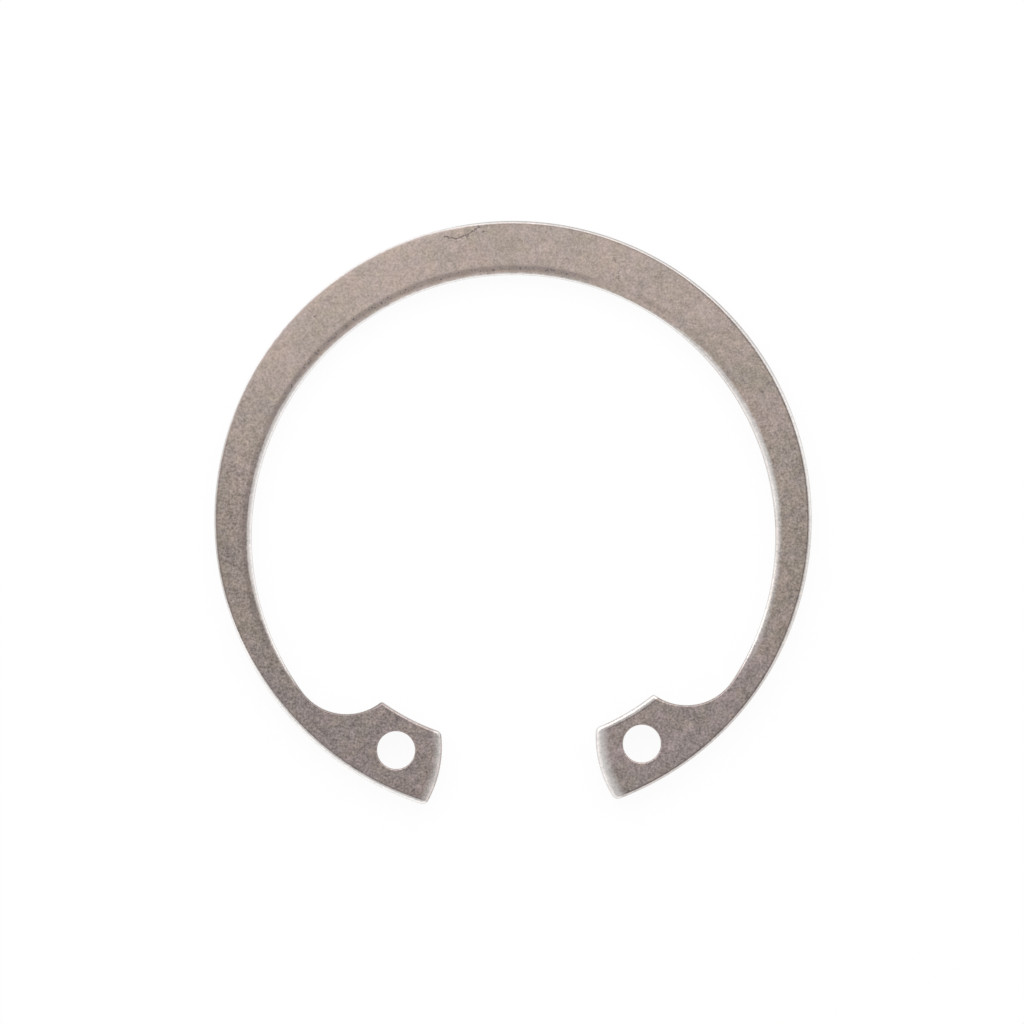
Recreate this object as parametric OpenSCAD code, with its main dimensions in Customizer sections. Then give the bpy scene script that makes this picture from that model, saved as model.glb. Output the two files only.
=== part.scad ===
// Internal retaining ring, stamped from flat spring steel.
// It is squeezed with pliers, let go inside a bore and springs out into a groove.
// The ring lies flat: +Z is its axis, the gap points to -Y, and the origin is the centre of the
// outer edge, halfway through the thickness. All sizes are in millimetres, of the free ring.

/* [Ring] */
// Diameter of the outer edge
ring_d = 45.5; // [42:0.1:52]
// Thickness of the strip
ring_t = 1.75; // [1.2:0.05:2.5]
// Width of the body opposite the gap, where it is widest
body_w = 4.1; // [3.4:0.05:4.8]
// How far the centre of the inner edge lies from the ring's centre, toward the gap
taper = 1.32; // [0.9:0.01:1.6]

/* [Lugs] */
// Depth of a lug, from the outer edge inward
lug_depth = 5.65; // [5.2:0.05:6.2]
// Angle from the middle of the gap to the crown of a lug's end
end_angle = 17.8; // [14:0.1:20]
// Radius of the crowned end, seen from above
end_r = 8.6; // [6:0.1:12]
// Distance from the outer edge to the highest point of the crown
crown_inset = 2.2; // [1.8:0.05:3.2]
// Radius of the two corners of the end, seen from above
end_corner_r = 0.5; // [0.25:0.01:0.7]
// Radius of the tip beside the relief, seen from above
tip_r = 0.25; // [0.15:0.01:0.4]

/* [Relief behind each lug] */
// Radius of the relief
relief_r = 4.2; // [3.6:0.05:4.6]
// Angle from the middle of the gap to the relief, about the centre of the inner edge
relief_angle = 55.3; // [53:0.1:58]

/* [Plier holes] */
// Diameter of a hole
hole_d = 2.9; // [2:0.05:3.2]
// Angle from the middle of the gap to a hole
hole_angle = 28.4; // [27.5:0.1:29.5]
// Distance from the outer edge to the centre of a hole
hole_inset = 3.05; // [2.6:0.05:3.4]

/* [Edges] */
// Width of the rolled front edge, round the outside and along the inside of the lugs
roll_w = 0.24; // [0.12:0.01:0.35]
// Width of the softer roll along each side of the inner edge, where it is widest
side_roll_w = 0.37; // [0.25:0.01:0.5]
// Depth of that softer roll at the wall
side_roll_h = 0.24; // [0.18:0.01:0.35]
// Angle from the middle of the gap to its widest place, about the centre of the inner edge
side_roll_angle = 102; // [98:1:108]
// How far its centre lies from the centre of the inner edge, so that it fades out both ways
side_roll_shift = 0.75; // [0.6:0.05:1]
// Width of the small roll along the inner edge and in the reliefs
inner_w = 0.15; // [0.08:0.01:0.2]
// Width of the broad roll across the end of a lug
end_roll_w = 0.75; // [0.5:0.01:1]
// Depth of that broad roll at the wall
end_roll_h = 0.3; // [0.22:0.01:0.4]
// Width of the broken edge on the back face
back_w = 0.1; // [0.06:0.01:0.15]
// Width of the broken edge of a hole, on both faces
hole_edge_w = 0.08; // [0.05:0.01:0.15]

/* [Hidden] */
$fn = 180;

steel = [0.63, 0.58, 0.55];

// Slope at which a rolled edge leaves the flat face, and a small step past a wall that keeps two
// arcs crossing where they would otherwise only touch
lead = 5;
relief_bite = 0.03;
corner_bite = 0.004;
over = 2;

front_roll = [roll_w, roll_w];
inner_roll = [inner_w, inner_w];
back_roll = [back_w, back_w];
hole_roll = [hole_edge_w, hole_edge_w];

ring_r = ring_d / 2;
face_z = ring_t / 2;
lug_r = ring_r - lug_depth;
inner_r = ring_r - body_w + taper;
inner_c = [0, -taper];
side_c = inner_c + side_roll_shift * toward(side_roll_angle);

relief_c = inner_c + (inner_r - relief_r + relief_bite) * toward(relief_angle);
crown = (ring_r - crown_inset) * toward(end_angle);
end_c = crown + end_r * [cos(end_angle), sin(end_angle)];
end_c_angle = atan2(end_c.x, -end_c.y);
hole_c = (ring_r - hole_inset) * toward(hole_angle);

// Centres of the corners: the tip beside the relief, the toe and the heel of the end
tip_in = tip_r - corner_bite;
end_in = end_corner_r - corner_bite;
tip_c = meet([0, 0], lug_r + tip_in, relief_c, relief_r + tip_in, -1);
toe_c = meet([0, 0], lug_r + end_in, end_c, end_r - end_in, -1);
heel_c = meet([0, 0], ring_r - end_in, end_c, end_r - end_in, -1);

// Direction at an angle from the middle of the gap
function toward(a) = [sin(a), -cos(a)];

// Point at distance a from p and b from q, on one side of the line between them
function meet(p, a, q, b, side) =
  let (
    d = norm(q - p),
    u = (q - p) / d,
    x = (d * d + a * a - b * b) / (2 * d),
    y = sqrt(a * a - x * x)
  )
  p + x * u + side * y * [-u.y, u.x];

// Radius of the arc that leaves the face w in from the wall and reaches the wall h down
function roll_radius(w, h) = (w * w + h * h) / (2 * (h * cos(lead) - w * sin(lead)));

// Section outside a rolled edge: the wall is x = 0, the face y = 0, the metal at -x and -y
module roll(w, h) {
  r = roll_radius(w, h);
  translate([-w - r * sin(lead), -r * cos(lead)]) {
    difference() {
      square([2 * w + r * sin(lead), r + over]);
      circle(r);
    }
  }
}

// Everything inside a round edge of the ring: front and back are the [width, height] of its rolls
module round_edge(r, front, back) {
  rotate_extrude() {
    difference() {
      translate([0, -face_z - over / 2]) {
        square([r, ring_t + over]);
      }
      translate([r, face_z]) {
        roll(front[0], front[1]);
      }
      translate([r, -face_z]) {
        mirror([0, 1]) {
          roll(back[0], back[1]);
        }
      }
    }
  }
}

// Opening of radius r through the ring: front and back are the [width, height] of its rolls
module opening(r, front, back) {
  rotate_extrude() {
    translate([0, -face_z - over / 2]) {
      square([r, ring_t + over]);
    }
    translate([r, face_z]) {
      mirror([1, 0]) {
        roll(front[0], front[1]);
      }
    }
    translate([r, -face_z]) {
      mirror([1, 0]) {
        mirror([0, 1]) {
          roll(back[0], back[1]);
        }
      }
    }
  }
}

// Block through the thickness, over a sector between two directions from a point
module sector(c, a, b, r) {
  translate([c.x, c.y, -ring_t]) {
    linear_extrude(2 * ring_t) {
      polygon([[0, 0], r * a, r * b]);
    }
  }
}

// Metal outside a small corner arc, between the two walls that it joins
module corner(c, r, a, b) {
  difference() {
    sector(c, a / norm(a), b / norm(b), 4 * r);
    translate([c.x, c.y, -2 * ring_t]) {
      cylinder(r = r, h = 4 * ring_t);
    }
  }
}

// Blank: the outer edge, and the two faces
module blank() {
  intersection() {
    round_edge(ring_r, front_roll, back_roll);
    translate([-ring_d, -ring_d, -face_z]) {
      cube([2 * ring_d, 2 * ring_d, ring_t]);
    }
  }
}

// Softer roll along the right side of the inner edge: its circle lies off centre inside that edge
module side_roll() {
  translate([side_c.x, side_c.y, face_z]) {
    rotate_extrude() {
      translate([inner_r - side_roll_shift, 0]) {
        mirror([1, 0]) {
          roll(side_roll_w, side_roll_h);
        }
      }
    }
  }
}

// Inner edge of the body, which stops at the reliefs
module inner_edge() {
  difference() {
    union() {
      translate([inner_c.x, inner_c.y, 0]) {
        opening(inner_r, inner_roll, back_roll);
      }
      side_roll();
      mirror([1, 0, 0]) {
        side_roll();
      }
    }
    sector(inner_c, toward(relief_angle), toward(-relief_angle), 3 * ring_d);
  }
}

// Gap between the two crowned ends
module gap() {
  difference() {
    sector([0, 0], toward(end_c_angle), toward(-end_c_angle), ring_d);
    for (side = [0, 1]) {
      mirror([side, 0, 0]) {
        translate([end_c.x, end_c.y, 0]) {
          round_edge(end_r, [end_roll_w, end_roll_h], back_roll);
        }
      }
    }
  }
}

module retaining_ring() {
  color(steel) {
    difference() {
      blank();
      inner_edge();
      opening(lug_r, front_roll, back_roll);
      gap();
      for (side = [0, 1]) {
        mirror([side, 0, 0]) {
          translate([relief_c.x, relief_c.y, 0]) {
            opening(relief_r, inner_roll, back_roll);
          }
          translate([hole_c.x, hole_c.y, 0]) {
            opening(hole_d / 2, hole_roll, hole_roll);
          }
          corner(tip_c, tip_r, relief_c - tip_c, -tip_c);
          corner(toe_c, end_corner_r, -toe_c, toe_c - end_c);
          corner(heel_c, end_corner_r, heel_c - end_c, heel_c);
        }
      }
    }
  }
}

retaining_ring();
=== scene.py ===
import math

import bmesh
import bpy
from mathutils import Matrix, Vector


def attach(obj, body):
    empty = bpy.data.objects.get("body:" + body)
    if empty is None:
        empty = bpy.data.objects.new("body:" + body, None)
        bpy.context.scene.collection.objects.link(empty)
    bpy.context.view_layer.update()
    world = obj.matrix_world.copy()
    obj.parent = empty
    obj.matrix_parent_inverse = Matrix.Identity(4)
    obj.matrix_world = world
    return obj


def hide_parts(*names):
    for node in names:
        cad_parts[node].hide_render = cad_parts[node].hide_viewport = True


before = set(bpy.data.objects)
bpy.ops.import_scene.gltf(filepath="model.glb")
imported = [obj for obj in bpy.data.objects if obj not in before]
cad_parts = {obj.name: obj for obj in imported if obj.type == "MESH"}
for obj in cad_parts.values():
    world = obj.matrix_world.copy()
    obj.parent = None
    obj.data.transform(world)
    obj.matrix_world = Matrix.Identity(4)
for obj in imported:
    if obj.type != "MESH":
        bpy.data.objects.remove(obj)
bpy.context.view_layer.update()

# One millimetre, in metres
MM = 0.001

# Sizes of the free ring, in millimetres, as in the part's source
RING_R = 22.75
FACE_Z = 0.875
BODY_W = 4.1
TAPER = 1.32
LUG_R = RING_R - 5.65
END_ANGLE = 17.8
END_R = 8.6
CROWN_INSET = 2.2
END_CORNER_R = 0.5
TIP_R = 0.25
RELIEF_R = 4.2
RELIEF_ANGLE = 55.3
HOLE_R = 1.45
HOLE_ANGLE = 28.4
HOLE_INSET = 3.05

# Width and height of the rolled front edges, and of the broken edges behind and in the holes
OUTER_ROLL = (0.24, 0.24)
INNER_ROLL = (0.15, 0.15)
CORNER_ROLL = (0.36, 0.26)
END_ROLL = (0.75, 0.3)

# Softer roll along each side of the inner edge: its size and angle where it is widest, and how far
# its centre lies from that of the inner edge
SIDE_ROLL = (0.37, 0.24)
SIDE_ROLL_ANGLE = 102
SIDE_ROLL_SHIFT = 0.75

BACK_BREAK = 0.1
HOLE_BREAK = 0.08

# Fineness of the mesh: rows across a roll and a broken edge, steps round a hole and along each arc
ROLL_ROWS = 8
BREAK_ROWS = 3
HOLE_STEPS = 128
OUTER_STEPS = 150
CORNER_STEPS = 12
END_BLEND_STEPS = 12
END_STEPS = 16
LUG_STEPS = 24
TIP_STEPS = 8
RELIEF_BLEND_STEPS = 10
RELIEF_STEPS = 24
INNER_STEPS = 140

# Share of an arc over which one roll turns into the next
END_BLEND = 0.3
RELIEF_BLEND = 0.25

# Slack in millimetres: beside a cut, at the foot of a roll, on a face, between points that are one
CUT_SLACK = 0.01
FOOT_SLACK = 0.001
FACE_SLACK = 0.0001
POINT_SLACK = 0.0005

# Upward share of the normal above which a face counts as flat
FLAT = 0.9999


def toward(degrees):
    """Direction at an angle from the middle of the gap, to the right."""
    turn = math.radians(degrees)
    return (math.sin(turn), -math.cos(turn))


def along(start, direction, reach):
    """Point at some reach from another, in a direction."""
    return (start[0] + reach * direction[0], start[1] + reach * direction[1])


def heading(start, end):
    """Angle of the line from one point to another, in radians."""
    return math.atan2(end[1] - start[1], end[0] - start[0])


def meet(p, a, q, b):
    """Point at distance a from p and b from q, to the right of the line between them."""
    gap = math.dist(p, q)
    u = ((q[0] - p[0]) / gap, (q[1] - p[1]) / gap)
    x = (gap * gap + a * a - b * b) / (2 * gap)
    y = math.sqrt(a * a - x * x)
    return (p[0] + x * u[0] + y * u[1], p[1] + x * u[1] - y * u[0])


# Centres of the arcs that make up the right half of the outline
CENTRE = (0.0, 0.0)
INNER_R = RING_R - BODY_W + TAPER
INNER_C = (0.0, -TAPER)
RELIEF_C = along(INNER_C, toward(RELIEF_ANGLE), INNER_R - RELIEF_R)
CROWN = along(CENTRE, toward(END_ANGLE), RING_R - CROWN_INSET)
END_C = along(CROWN, toward(END_ANGLE + 90), END_R)
HOLE_C = along(CENTRE, toward(HOLE_ANGLE), RING_R - HOLE_INSET)
TIP_C = meet(CENTRE, LUG_R + TIP_R, RELIEF_C, RELIEF_R + TIP_R)
TOE_C = meet(CENTRE, LUG_R + END_CORNER_R, END_C, END_R - END_CORNER_R)
HEEL_C = meet(CENTRE, RING_R - END_CORNER_R, END_C, END_R - END_CORNER_R)


def deselect_all():
    """Leaves no object selected."""
    bpy.ops.object.select_all(action="DESELECT")


def pick(piece, wanted):
    """Selects the points of the piece in edit mode whose place, in millimetres, is wanted."""
    bpy.ops.mesh.select_all(action="DESELECT")
    bpy.ops.mesh.select_mode(type="VERT")
    mesh = bmesh.from_edit_mesh(piece.data)
    for point in mesh.verts:
        point.select = wanted(point.co / MM)
    mesh.select_flush_mode()
    bmesh.update_edit_mesh(piece.data)


def pull_out(x, y, z):
    """Extrudes what is selected by a step in millimetres."""
    bpy.ops.mesh.extrude_region_move(
        TRANSFORM_OT_translate={"value": (x * MM, y * MM, z * MM)})


def break_angles():
    """Start and end angle of each row of a broken edge, in radians."""
    turns = [math.radians(90 * row / BREAK_ROWS) for row in range(BREAK_ROWS + 1)]
    return zip(turns, turns[1:])


def section_of_wall():
    """The wall of the ring in section, at the top of the outer edge: roll, wall and broken edge."""
    deselect_all()
    bpy.ops.mesh.primitive_circle_add(
        vertices=4 * ROLL_ROWS, radius=MM, rotation=(0, math.pi / 2, 0))
    wall = bpy.context.object
    bpy.ops.object.transform_apply(location=True, rotation=True, scale=True)
    bpy.ops.object.mode_set(mode="EDIT")
    pick(wall, lambda p: p.y < -CUT_SLACK or p.z < -CUT_SLACK)
    bpy.ops.mesh.delete(type="VERT")
    width, height = OUTER_ROLL
    bpy.ops.mesh.select_all(action="SELECT")
    bpy.ops.transform.resize(value=(1, width, height), center_override=(0, 0, 0))
    bpy.ops.transform.translate(
        value=(0, (RING_R - width) * MM, (FACE_Z - height) * MM))
    pick(wall, lambda p: p.z < FACE_Z - height + FOOT_SLACK)
    pull_out(0, 0, height - 2 * FACE_Z + BACK_BREAK)
    for low, high in break_angles():
        pull_out(0, BACK_BREAK * (math.cos(high) - math.cos(low)),
                 BACK_BREAK * (math.sin(low) - math.sin(high)))
    bpy.ops.mesh.select_all(action="SELECT")
    return wall


def reshape_roll(wall, old, new):
    """Turns the roll of the selected section from one width and height into another."""
    mesh = bmesh.from_edit_mesh(wall.data)
    section = [point for point in mesh.verts if point.select]
    foot = min(section, key=lambda point: abs(point.co.z / MM + FACE_Z - BACK_BREAK)).co.copy()
    for point in section:
        point.select = point.co.z > 0
    mesh.select_flush_mode()
    bpy.ops.transform.resize(
        value=(new[0] / old[0], new[0] / old[0], new[1] / old[1]),
        center_override=(foot.x, foot.y, FACE_Z * MM))
    for point in section:
        point.select = True
    mesh.select_flush_mode()
    bmesh.update_edit_mesh(wall.data)


def clockwise(start, end):
    """Turn from one heading to another, as the spin counts it."""
    return (start - end) % (2 * math.pi)


def anticlockwise(start, end):
    """The same turn the other way round."""
    return -((end - start) % (2 * math.pi))


def sweep(wall, centre, turn, steps, roll=None):
    """Spins the selected end of the wall about a centre, and leaves the new end selected.
    Where a roll is given, it says the roll's width and height at each share of the way."""
    middle = (centre[0] * MM, centre[1] * MM, 0)
    if roll is None:
        bpy.ops.mesh.spin(steps=steps, angle=turn, axis=(0, 0, 1), center=middle)
        return
    for step in range(steps):
        bpy.ops.mesh.spin(steps=1, angle=turn / steps, axis=(0, 0, 1), center=middle)
        reshape_roll(wall, roll(step / steps), roll((step + 1) / steps))


def growing(old, new):
    """A roll that turns evenly from one size into another."""
    return lambda share: tuple(a + (b - a) * share for a, b in zip(old, new))


def side_roll(share):
    """The roll along the inner edge, from the relief to the top: it swells and fades again."""
    angle = RELIEF_ANGLE + share * (180 - RELIEF_ANGLE)
    fade = SIDE_ROLL_SHIFT * (1 - math.cos(math.radians(angle - SIDE_ROLL_ANGLE)))
    width = max(SIDE_ROLL[0] - fade, INNER_ROLL[0])
    return width, max(SIDE_ROLL[1] * width / SIDE_ROLL[0], INNER_ROLL[1])


def walls_of_half():
    """All the walls of the right half, from the top of the outer edge round to the inner edge."""
    up = math.pi / 2
    to_heel = clockwise(up, heading(CENTRE, HEEL_C))
    heel = clockwise(heading(CENTRE, HEEL_C), heading(END_C, HEEL_C))
    end = clockwise(heading(END_C, HEEL_C), heading(END_C, TOE_C))
    toe = clockwise(heading(END_C, TOE_C), heading(TOE_C, CENTRE))
    to_tip = anticlockwise(heading(CENTRE, TOE_C), heading(CENTRE, TIP_C))
    tip = clockwise(heading(TIP_C, CENTRE), heading(TIP_C, RELIEF_C))
    relief = anticlockwise(heading(RELIEF_C, TIP_C), heading(INNER_C, RELIEF_C))
    to_top = anticlockwise(heading(INNER_C, RELIEF_C), up)

    wall = section_of_wall()
    sweep(wall, CENTRE, to_heel, OUTER_STEPS)
    sweep(wall, HEEL_C, heel, CORNER_STEPS, growing(OUTER_ROLL, CORNER_ROLL))
    sweep(wall, END_C, END_BLEND * end, END_BLEND_STEPS, growing(CORNER_ROLL, END_ROLL))
    sweep(wall, END_C, (1 - 2 * END_BLEND) * end, END_STEPS)
    sweep(wall, END_C, END_BLEND * end, END_BLEND_STEPS, growing(END_ROLL, CORNER_ROLL))
    sweep(wall, TOE_C, toe, CORNER_STEPS, growing(CORNER_ROLL, OUTER_ROLL))
    sweep(wall, CENTRE, to_tip, LUG_STEPS)
    sweep(wall, TIP_C, tip, TIP_STEPS)
    sweep(wall, RELIEF_C, RELIEF_BLEND * relief, RELIEF_BLEND_STEPS,
          growing(OUTER_ROLL, INNER_ROLL))
    sweep(wall, RELIEF_C, (1 - RELIEF_BLEND) * relief, RELIEF_STEPS)
    sweep(wall, INNER_C, to_top, INNER_STEPS, side_roll)
    bpy.ops.object.mode_set(mode="OBJECT")
    return wall


def wall_of_hole():
    """The wall of the right plier hole, with its edges broken on both faces."""
    deselect_all()
    bpy.ops.mesh.primitive_cylinder_add(
        vertices=HOLE_STEPS, radius=HOLE_R * MM, depth=2 * (FACE_Z - HOLE_BREAK) * MM,
        end_fill_type="NOTHING", location=(HOLE_C[0] * MM, HOLE_C[1] * MM, 0))
    hole = bpy.context.object
    bpy.ops.object.transform_apply(location=True, rotation=True, scale=True)
    bpy.ops.object.mode_set(mode="EDIT")
    for side in (1, -1):
        pick(hole, lambda p: p.z * side > 0)
        wide = HOLE_R
        for low, high in break_angles():
            pull_out(0, 0, side * HOLE_BREAK * (math.sin(high) - math.sin(low)))
            wider = HOLE_R + HOLE_BREAK * (1 - math.cos(high))
            bpy.ops.transform.resize(
                value=(wider / wide, wider / wide, 1),
                center_override=(HOLE_C[0] * MM, HOLE_C[1] * MM, 0))
            wide = wider
    bpy.ops.object.mode_set(mode="OBJECT")
    return hole


def crease_round_faces(ring):
    """Marks the line where each flat face ends, so that the faces stay flat in the light."""
    bpy.ops.mesh.select_all(action="DESELECT")
    bpy.ops.mesh.select_mode(type="EDGE")
    mesh = bmesh.from_edit_mesh(ring.data)
    for edge in mesh.edges:
        flat = [abs(face.normal.z) > FLAT for face in edge.link_faces]
        edge.select = any(flat) and not all(flat)
    bmesh.update_edit_mesh(ring.data)
    bpy.ops.mesh.mark_sharp()


def solid_ring():
    """The ring as one closed mesh: walls and hole mirrored, then both faces filled."""
    ring, hole = walls_of_half(), wall_of_hole()
    deselect_all()
    hole.select_set(True)
    ring.select_set(True)
    bpy.context.view_layer.objects.active = ring
    bpy.ops.object.join()
    ring.name = ring.data.name = "steel_ring"
    mirror = ring.modifiers.new("other half", "MIRROR")
    mirror.use_axis = (True, False, False)
    mirror.merge_threshold = POINT_SLACK * MM
    bpy.ops.object.modifier_apply(modifier=mirror.name)
    bpy.ops.object.mode_set(mode="EDIT")
    for face in (FACE_Z, -FACE_Z):
        pick(ring, lambda p: abs(p.z - face) < FACE_SLACK)
        bpy.ops.mesh.fill(use_beauty=True)
    bpy.ops.mesh.select_all(action="SELECT")
    bpy.ops.mesh.remove_doubles(threshold=POINT_SLACK * MM)
    bpy.ops.mesh.normals_make_consistent(inside=False)
    crease_round_faces(ring)
    bpy.ops.object.mode_set(mode="OBJECT")
    bpy.ops.object.shade_smooth()
    return ring


class Wire:
    """An output of a node. Sums written with wires add Math nodes."""

    def __init__(self, finish, socket):
        self.finish = finish
        self.socket = socket

    def maths(self, operation, *values):
        """Adds one Math node."""
        return self.finish.node("ShaderNodeMath", {"operation": operation}, dict(enumerate(values)))

    def __add__(self, other):
        return self.maths("ADD", self, other)

    def __sub__(self, other):
        return self.maths("SUBTRACT", self, other)

    def __rsub__(self, other):
        return self.maths("SUBTRACT", other, self)

    def __mul__(self, other):
        return self.maths("MULTIPLY", self, other)

    def __truediv__(self, other):
        return self.maths("DIVIDE", self, other)

    def __rtruediv__(self, other):
        return self.maths("DIVIDE", other, self)

    def __pow__(self, other):
        return self.maths("POWER", self, other)

    def __abs__(self):
        return self.maths("ABSOLUTE", self)

    __radd__ = __add__
    __rmul__ = __mul__

    def at_most(self, other):
        """The smaller of two values."""
        return self.maths("MINIMUM", self, other)

    def at_least(self, other):
        """The larger of two values."""
        return self.maths("MAXIMUM", self, other)


class Finish:
    """The nodes of one material, or of the world."""

    def __init__(self, tree):
        self.tree = tree
        self.tree.nodes.clear()

    def node(self, kind, settings=None, sockets=None, out=0):
        """Adds a node: its settings first, then values or wires for its sockets."""
        made = self.tree.nodes.new(kind)
        for name, value in (settings or {}).items():
            setattr(made, name, value)
        for name, value in (sockets or {}).items():
            if isinstance(value, Wire):
                self.tree.links.new(value.socket, made.inputs[name])
            else:
                made.inputs[name].default_value = value
        return Wire(self, made.outputs[out]) if made.outputs else made

    def rise(self, value, low, high):
        """0 below low and 1 above high, with a soft step between; low may be the larger."""
        return self.node("ShaderNodeMapRange", {"interpolation_type": "SMOOTHSTEP"},
                         {"Value": value, "From Min": low, "From Max": high,
                          "To Min": 0.0, "To Max": 1.0})

    def noise(self, place, scale, detail, roughness):
        """Noise between 0 and 1."""
        return self.node("ShaderNodeTexNoise", {"noise_dimensions": "3D"},
                         {"Vector": place, "Scale": scale, "Detail": detail,
                          "Roughness": roughness})

    def tint(self, share, plain, tinted):
        """One colour turning into another by a share."""
        return self.node("ShaderNodeMix", {"data_type": "RGBA", "blend_type": "MIX"},
                         {0: share, 6: plain, 7: tinted}, out=2)

    def times(self, vector, factors):
        """A vector or colour times another, number by number."""
        return self.node("ShaderNodeVectorMath", {"operation": "MULTIPLY"}, {0: vector, 1: factors})

    def scaled(self, vector, factor):
        """A vector or colour times one number."""
        return self.node("ShaderNodeVectorMath", {"operation": "SCALE"},
                         {0: vector, "Scale": factor})


def length(x, y):
    """Length of a line from its two parts."""
    return (x * x + y * y) ** 0.5


# Finish of the steel: colours are linear, lengths in millimetres, bearings in degrees from the gap
FACE_GREY = (0.416, 0.353, 0.322)
LUG_TINT = (0.994, 0.998, 1.055)
ROSY_TINT = (1.02, 0.985, 1.0)
STRAW_TINT = (1.0, 1.0, 0.945)
# Burnished edge colour, bright enough to stand for the painted highlight on the rims
BURNISH_AND_HIGHLIGHT = (0.89, 0.865, 0.85)
SHEARED_STEEL = (0.50, 0.455, 0.43)
TORN_STEEL = (0.27, 0.235, 0.22)
# Dark colour of the painted shade lines beside the rims, and of the scratches and flecks
DARK_LINE = (0.17, 0.14, 0.135)

# Marks on the front face: scratches as points joined by lines, flecks as a place and a radius
SCRATCH = ((-4.68, 21.66), (-4.2, 21.53), (-3.67, 21.49), (-3.21, 21.62),
           (-2.67, 21.93), (-2.22, 22.19), (-2.05, 22.41))
FAINT_SCRATCH = ((8.18, 19.73), (8.32, 19.37), (8.62, 19.06), (8.55, 18.45), (8.58, 17.77))
FLECKS = ((-1.67, 21.99, 0.11), (-14.71, 15.86, 0.09), (3.05, 21.79, 0.08))

# How dark the marks are, how a kink slants, and where a fleck starts and ends over its radius
SCRATCH_DEPTH = 0.75
FAINT_DEPTH = 0.4
FLECK_DEPTH = 0.75
KINK_SLANT = 0.8
FLECK_RIM = 1.2
FLECK_CORE = 0.4

# Noises in the steel: waves per millimetre, detail and roughness
GRAIN = (6.0, 3.0, 0.68)
MOTTLE = (1.8, 3.0, 0.6)
DRIFT = (0.35, 2.0, 0.5)
WANDER = (2.2, 2.0, 0.5)
KINK = (5.0, 2.0, 0.5)
STRAW = (0.8, 2.0, 0.5)
STREAK = (9.0, 3.0, 0.6)
NOISE_MEAN = 0.5

# How far the wander moves a rim and a kink moves a scratch, and how a streak is drawn out in height
WANDER_WIDTH = 0.12
KINK_WIDTH = 0.35
STREAK_STRETCH = (1, 1, 0.05)

# Strength and depth of the grain's relief
RELIEF_STRENGTH = 0.6
RELIEF_DEPTH = 0.012

# Spans round the ring: the bearing, how far it reaches each way, and over how much more it fades
# Most spans set where painted highlights, painted shade and painted light are stronger or weaker
SHADED_OUTER = (246, 30, 34)  # outer edge without a painted highlight, painted shade on its roll
GREYED_HIGHLIGHT = (152, 17, 34)  # painted highlight on the outer rim greyed
GLINT = (218, 20, 20)  # stronger painted highlight on the outer rim, painted light on the face beside it
TOP = (190, 40, 25)  # narrow outer rim, specks in the inner line
SHADED_INNER = (228, 60, 16)  # painted shade line inside the inner rim
LOW_RIGHT = (34, 14, 22)  # outer rim narrow and weak
LOW_LEFT = (318, 22, 18)  # outer rim strong, inner rim weak
BROAD_LEFT = (336, 14, 40)  # outer rim broad
INNER_TOP = (186, 30, 30)  # inner rim narrow
INNER_RIGHT = (108, 14, 16)  # inner rim soft
THIN_RIGHT = (134, 10, 14)  # inner rim thin
GREY_RIGHT = (82, 6, 9)  # inner rim greyed
FAR_RIGHT = (105, 8, 16)  # outer rim stronger
PALE = (224, 16, 24)  # face paler, painted light
BROAD_TOP = (203, 9, 14)  # least outer rim broader
WEAK_RIGHT = (72, 8, 14)  # painted highlight on the inner rim weak
WEAK_LEFT = (265, 24, 14)  # painted highlight on the inner rim a little weak
LINED_RIGHT = (140, 14, 12)  # faint painted shade line inside the inner rim
SOFT_LEFT = (308, 18, 16)  # outer edge soft


def line_distance(x, y, points):
    """How far a point of the face lies from a scratch along some points."""
    nearest = None
    for start, end in zip(points, points[1:]):
        run, climb = end[0] - start[0], end[1] - start[1]
        share = ((x - start[0]) * run + (y - start[1]) * climb) / (run * run + climb * climb)
        share = share.at_least(0.0).at_most(1.0)
        away = length(x - start[0] - share * run, y - start[1] - share * climb)
        nearest = away if nearest is None else nearest.at_most(away)
    return nearest


def face_marks(steel, x, y, kink, grain):
    """Scratches and flecks on the face: kinks bend them and the grain frays them."""
    scratch = line_distance(x + kink, y - KINK_SLANT * kink, SCRATCH)
    faint = line_distance(x - kink, y + KINK_SLANT * kink, FAINT_SCRATCH)
    marks = (SCRATCH_DEPTH * steel.rise(scratch + 0.25 * grain, 0.10, 0.035)).at_least(
        FAINT_DEPTH * steel.rise(faint + 0.3 * grain, 0.09, 0.03))
    for across, up, radius in FLECKS:
        spot = steel.rise(length(x - across, y - up) + 0.3 * grain,
                          FLECK_RIM * radius, FLECK_CORE * radius)
        marks = marks.at_least(FLECK_DEPTH * spot)
    return marks


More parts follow.
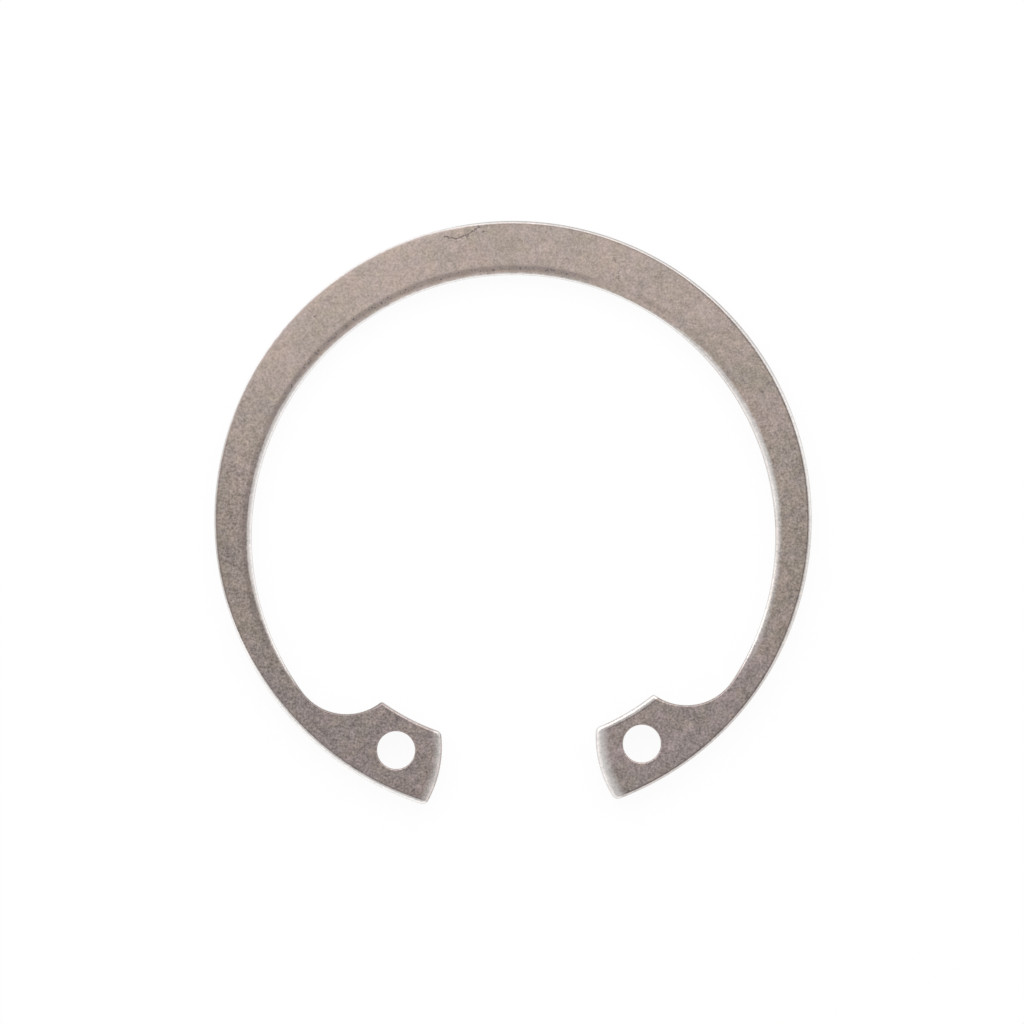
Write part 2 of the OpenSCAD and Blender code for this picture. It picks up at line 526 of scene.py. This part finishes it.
def steel_finish():
    """Tumbled spring steel: grey grained faces with painted light and shade, burnished rolled edges
    with painted highlights and painted shade lines beside them, streaked sheared walls.
    """
    material = bpy.data.materials.new("tumbled_spring_steel")
    material.use_nodes = True
    steel = Finish(material.node_tree)
    metres = steel.node("ShaderNodeTexCoord", out="Object")
    place = steel.scaled(metres, 1 / MM)
    x, y, z = (steel.node("ShaderNodeSeparateXYZ", None, {0: place}, out=axis) for axis in "XYZ")
    normal = steel.node("ShaderNodeTexCoord", out="Normal")
    up = steel.node("ShaderNodeSeparateXYZ", None, {0: normal}, out="Z")

    grain = steel.noise(place, *GRAIN) - NOISE_MEAN
    mottle = steel.noise(place, *MOTTLE) - NOISE_MEAN
    drift = steel.noise(place, *DRIFT) - NOISE_MEAN
    wander = (steel.noise(place, *WANDER) - NOISE_MEAN) * WANDER_WIDTH
    kink = (steel.noise(place, *KINK) - NOISE_MEAN) * KINK_WIDTH
    streak = steel.noise(steel.times(place, STREAK_STRETCH), *STREAK) - NOISE_MEAN

    # Distances from the edges, and parts of the ring, in millimetres
    middle = length(x, y)
    side = abs(x)
    from_outer = RING_R - middle
    from_inner = length(x, y + TAPER) - INNER_R
    from_lug = middle - LUG_R
    from_relief = length(side - RELIEF_C[0], y - RELIEF_C[1]) - RELIEF_R
    from_end = END_R - length(side - END_C[0], y - END_C[1])
    front = steel.rise(z, -0.2, 0.2)
    body = steel.rise(y, -13.0, -12.2)
    # Soft fade that lets the painted highlight on the inner rim start gently along the body
    body_fade = steel.rise(y, -13.2, -9.0)
    tips = steel.rise(side, 9.6, 8.6) * (1 - body)

    def bearing(span):
        """1 within reach of a bearing, fading out over the next few degrees."""
        degrees, reach, fade = span
        way = toward(degrees)
        cosine = (x * way[0] + y * way[1]) / middle
        return steel.rise(cosine, math.cos(math.radians(reach + fade)),
                          math.cos(math.radians(reach)))

    # Where round the ring the painted highlights and painted shade on the edges are stronger or
    # weaker
    shaded_outer = bearing(SHADED_OUTER)
    greyed_highlight = bearing(GREYED_HIGHLIGHT)
    glint = bearing(GLINT)
    top = bearing(TOP)
    shaded_inner = bearing(SHADED_INNER)
    low_right = bearing(LOW_RIGHT)
    low_left = bearing(LOW_LEFT)
    broad_left = bearing(BROAD_LEFT)
    inner_top = bearing(INNER_TOP)
    inner_right = bearing(INNER_RIGHT)
    thin_right = bearing(THIN_RIGHT)
    grey_right = bearing(GREY_RIGHT)
    far_right = bearing(FAR_RIGHT)
    pale = bearing(PALE)
    right = steel.rise(x, -6.0, 10.0)
    lower = steel.rise(y, 16.0, 0.0)
    lugs = steel.rise(y, -6.0, -15.0)

    # Bright rims: burnished edges with a painted highlight whose width and strength change round
    # the ring; widths in millimetres, the other numbers are weights
    outer_edge = (0.225 - 0.08 * low_right + 0.05 * broad_left - 0.07 * top
                  - 0.13 * shaded_outer).at_least(0.07 + 0.025 * bearing(BROAD_TOP))
    outer_rim = steel.rise(from_outer + 0.3 * wander, outer_edge + 0.035, outer_edge - 0.035)
    outer_rim = outer_rim * (0.62 + 0.38 * low_left + 0.2 * far_right - 0.17 * low_right
                             + 0.23 * greyed_highlight + 0.3 * glint)
    inner_edge = 0.34 - 0.19 * inner_top - 0.12 * low_left - 0.09 * thin_right
    inner_rim = body_fade * steel.rise(from_inner + wander,
                                       inner_edge + 0.06 + 0.17 * right * (1 - inner_top),
                                       inner_edge - 0.06)
    inner_rim = inner_rim * (0.74 - 0.3 * low_left - 0.3 * bearing(WEAK_RIGHT)
                             - 0.03 * grey_right - 0.1 * bearing(WEAK_LEFT))
    inner_rim = inner_rim.at_least(
        body_fade * steel.rise(from_inner, 0.13, 0.07) * (1 - 0.4 * inner_right - 0.2 * grey_right))
    lug_edge = 0.10 + 0.24 * right
    lug_rim = steel.rise(from_lug + 0.3 * wander, lug_edge + 0.07, lug_edge) * (1 - body)
    lug_rim = lug_rim * (0.1 + 0.5 * right)
    end_rim = steel.rise(from_end + wander, 0.80 + 0.35 * right, 0.22 + 0.1 * right) * tips
    end_rim = end_rim * (0.49 + 0.37 * right)
    # Painted shade: the left lug's end rim darker at its very edge
    end_rim = end_rim * (1 - 0.7 * (1 - right) * steel.rise(from_end, 0.12, 0.04))
    bright = outer_rim.at_least(inner_rim).at_least(lug_rim).at_least(end_rim) * front

    # Painted shade: dark lines beside the rims, dark rolls without a rim, and dark specks in the
    # line inside the top of the inner rim
    outer_line = (steel.rise(from_outer + 0.3 * wander, outer_edge - 0.02, outer_edge + 0.04)
                  * steel.rise(from_outer, outer_edge + 0.15, outer_edge + 0.07) * (1 - shaded_outer))
    shaded_roll = steel.rise(from_outer, 0.27, 0.2) * shaded_outer.at_least(0.9 * glint)
    relief_roll = steel.rise(from_relief, 0.19, 0.13) * (1 - steel.rise(y, -9.0, -6.0))
    lug_line = (steel.rise(from_lug, lug_edge, lug_edge + 0.07)
                * steel.rise(from_lug, lug_edge + 0.22, lug_edge + 0.1) * (1 - body))
    inner_line = (steel.rise(from_inner + wander, 0.18, 0.45)
                  * steel.rise(from_inner + wander, 0.86, 0.58) * body * shaded_inner)
    faint_line = (steel.rise(from_inner + wander, 0.40, 0.58)
                  * steel.rise(from_inner + wander, 1.0, 0.78) * bearing(LINED_RIGHT))
    specks = steel.rise(grain, 0.03, 0.11) * inner_line * top
    outer_line = outer_line * (1 + 0.5 * right)
    lines = 0.42 * outer_line.at_least(lug_line).at_least(0.9 * inner_line) + 0.7 * specks
    lines = lines.at_least(0.14 * faint_line)
    lines = lines.at_least(0.6 * shaded_roll).at_least((0.62 - 0.3 * right) * relief_roll) * front

    marks = face_marks(steel, x, y, kink, grain) * front

    # Walls, where the steel was sheared above and torn below; the sheared colour also covers the
    # steep part of each roll as a painted dark outline, except where soft_edge keeps the rim colour
    soft_inner = steel.rise(from_inner, 0.3, 0.2) * body_fade * (1 - 0.6 * inner_right)
    soft_outer = steel.rise(from_outer, 0.12, 0.06) * glint.at_least(bearing(SOFT_LEFT))
    soft_lug = steel.rise(from_lug, 0.1, 0.05) * right * (1 - body)
    soft_edge = soft_inner.at_least(soft_outer).at_least(soft_lug) * steel.rise(z, 0.62, 0.70)
    wall = steel.rise(abs(up), 0.6, 0.2) * (1 - 0.95 * soft_edge)
    torn = steel.rise(z + 2.5 * wander, -0.05, -0.35)

    # Colour of the faces with painted light and shade, then the painted shade lines and the marks,
    # the rims and walls over it
    # Grain, mottle and drift are the steel's own tone; the pale and glint terms paint light on the
    # upper left, and the right and lower terms paint the upper right lighter and the lower left
    # darker
    shade = (1 + (1.33 + 0.65 * lower) * grain + (0.46 + 0.22 * lower) * mottle + 0.25 * drift
             + 0.09 * pale + 0.07 * glint * steel.rise(from_outer, 0.8, 0.2)
             + 0.07 * right * (1 - lower) - 0.08 * (1 - right) * lower)
    colour = steel.scaled(FACE_GREY, shade)
    colour = steel.tint(lugs, colour, steel.times(colour, LUG_TINT))
    colour = steel.tint(steel.rise(drift + 0.5 * mottle, -0.12, 0.12), colour,
                        steel.times(colour, ROSY_TINT))
    colour = steel.tint(steel.rise(steel.noise(place, *STRAW), 0.4, 0.6), colour,
                        steel.times(colour, STRAW_TINT))
    colour = steel.tint(lines.at_least(marks), colour, (*DARK_LINE, 1))
    # Painted highlight on the burnished rims, greyed in the greyed span
    gleam = 1 - 0.42 * greyed_highlight * steel.rise(from_outer, 0.5, 0.4)
    burnish_and_highlight = steel.scaled(BURNISH_AND_HIGHLIGHT, gleam * (1 + 0.5 * grain + 0.3 * mottle))
    colour = steel.tint(bright, colour, burnish_and_highlight)
    sheared = steel.scaled(SHEARED_STEEL, 1 + 0.9 * streak)
    ripped = steel.scaled(TORN_STEEL, 1 + 1.4 * grain)
    colour = steel.tint(wall, colour, steel.tint(torn, sheared, ripped))

    # Roughness and relief
    rough = 0.45 + 0.1 * mottle + 0.1 * grain
    rough = rough + (0.42 - rough) * bright
    rough = rough + (0.34 + 0.3 * streak + 0.2 * torn - rough) * wall
    height = grain + (1.4 * streak - grain) * wall - 1.5 * marks
    relief = steel.node("ShaderNodeBump", None, {
        "Strength": RELIEF_STRENGTH, "Distance": RELIEF_DEPTH * MM, "Height": height})
    shader = steel.node("ShaderNodeBsdfPrincipled", None, {
        "Base Color": colour, "Metallic": 1.0, "Roughness": rough, "Normal": relief})
    steel.node("ShaderNodeOutputMaterial", None, {"Surface": shader})
    return material


# Studio: sizes in millimetres, power in watts
TABLE_SIZE = 3000.0
TABLE_WHITE = (0.9, 0.9, 0.9, 1)
TABLE_GLOW = 0.94
WHITE = (1, 1, 1, 1)
ROOM_LIGHT = 1.15
OVERHEAD_LOSS = 0.80
OVERHEAD_START, OVERHEAD_FULL = 0.5, 0.97
WINDOW_PLACE = (-14, 92, 112)
WINDOW_SIZE = (320, 120)
WINDOW_POWER = 0.22


def light_path(finish):
    """1 for rays that see or mirror the surroundings, 0 for those that only light things."""
    seen = [finish.node("ShaderNodeLightPath", out=name)
            for name in ("Is Camera Ray", "Is Glossy Ray", "Is Transmission Ray")]
    return seen[0].at_least(seen[1]).at_least(seen[2])


def studio_floor():
    """White table that keeps a faint shadow under the ring."""
    deselect_all()
    bpy.ops.mesh.primitive_plane_add(size=TABLE_SIZE * MM, location=(0, 0, -FACE_Z * MM))
    floor = bpy.context.object
    floor.name = floor.data.name = "table"
    material = bpy.data.materials.new("white_table")
    material.use_nodes = True
    white = Finish(material.node_tree)
    lit = white.node("ShaderNodeBsdfDiffuse", None, {"Color": TABLE_WHITE})
    glow = white.node("ShaderNodeEmission", None, {"Color": WHITE, "Strength": 1.0})
    pale = white.node("ShaderNodeMixShader", None, {0: TABLE_GLOW, 1: lit, 2: glow})
    surface = white.node("ShaderNodeMixShader", None, {0: light_path(white), 1: lit, 2: pale})
    white.node("ShaderNodeOutputMaterial", None, {"Surface": surface})
    floor.data.materials.append(material)


def studio_world():
    """White room that is darker overhead, which greys the faces of the ring."""
    world = bpy.data.worlds.new("white_room")
    world.use_nodes = True
    bpy.context.scene.world = world
    room = Finish(world.node_tree)
    direction = room.node("ShaderNodeTexCoord", out="Generated")
    height = room.node("ShaderNodeSeparateXYZ", None, {0: direction}, out="Z")
    overhead = room.rise(height, OVERHEAD_START, OVERHEAD_FULL)
    light = ROOM_LIGHT - OVERHEAD_LOSS * overhead
    camera_ray = room.node("ShaderNodeLightPath", out="Is Camera Ray")
    strength = light + (1 - light) * camera_ray
    back = room.node("ShaderNodeBackground", None, {"Color": WHITE, "Strength": strength})
    room.node("ShaderNodeOutputWorld", None, {"Surface": back})


def soft_lamp(name, place, size, power):
    """A wide soft lamp that faces the ring; place and size in millimetres, power in watts."""
    lamp = bpy.data.lights.new(name, "AREA")
    lamp.shape = "RECTANGLE"
    lamp.size, lamp.size_y = (side * MM for side in size)
    lamp.energy = power
    holder = bpy.data.objects.new(name, lamp)
    holder.location = [value * MM for value in place]
    holder.rotation_euler = (-Vector(place)).to_track_quat("-Z", "Y").to_euler()
    bpy.context.scene.collection.objects.link(holder)


# The photograph: where its middle lies on the ring, its width, its turn and the camera's distance
VIEW_MIDDLE = (-0.063, 0.579)
VIEW_WIDTH = 77.99
VIEW_TURN = -1.5
VIEW_DISTANCE = 1300.0
SENSOR_WIDTH = 36.0
FARTHEST_SEEN = 10000.0


def photo_camera():
    """Camera straight above the ring and far off, so that hardly any wall shows."""
    data = bpy.data.cameras.new("camera")
    data.sensor_width = SENSOR_WIDTH
    data.lens = data.sensor_width * VIEW_DISTANCE / VIEW_WIDTH
    data.clip_end = FARTHEST_SEEN * MM
    camera = bpy.data.objects.new("camera", data)
    camera.location = (VIEW_MIDDLE[0] * MM, VIEW_MIDDLE[1] * MM, (FACE_Z + VIEW_DISTANCE) * MM)
    camera.rotation_euler = (0, 0, math.radians(VIEW_TURN))
    bpy.context.scene.collection.objects.link(camera)
    bpy.context.scene.camera = camera


photo_camera()
ring = solid_ring()
ring.data.materials.append(steel_finish())
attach(ring, "root")
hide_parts("retaining_ring")

studio_floor()
studio_world()
soft_lamp("window", WINDOW_PLACE, WINDOW_SIZE, WINDOW_POWER)
bpy.context.scene.view_settings.view_transform = "Standard"
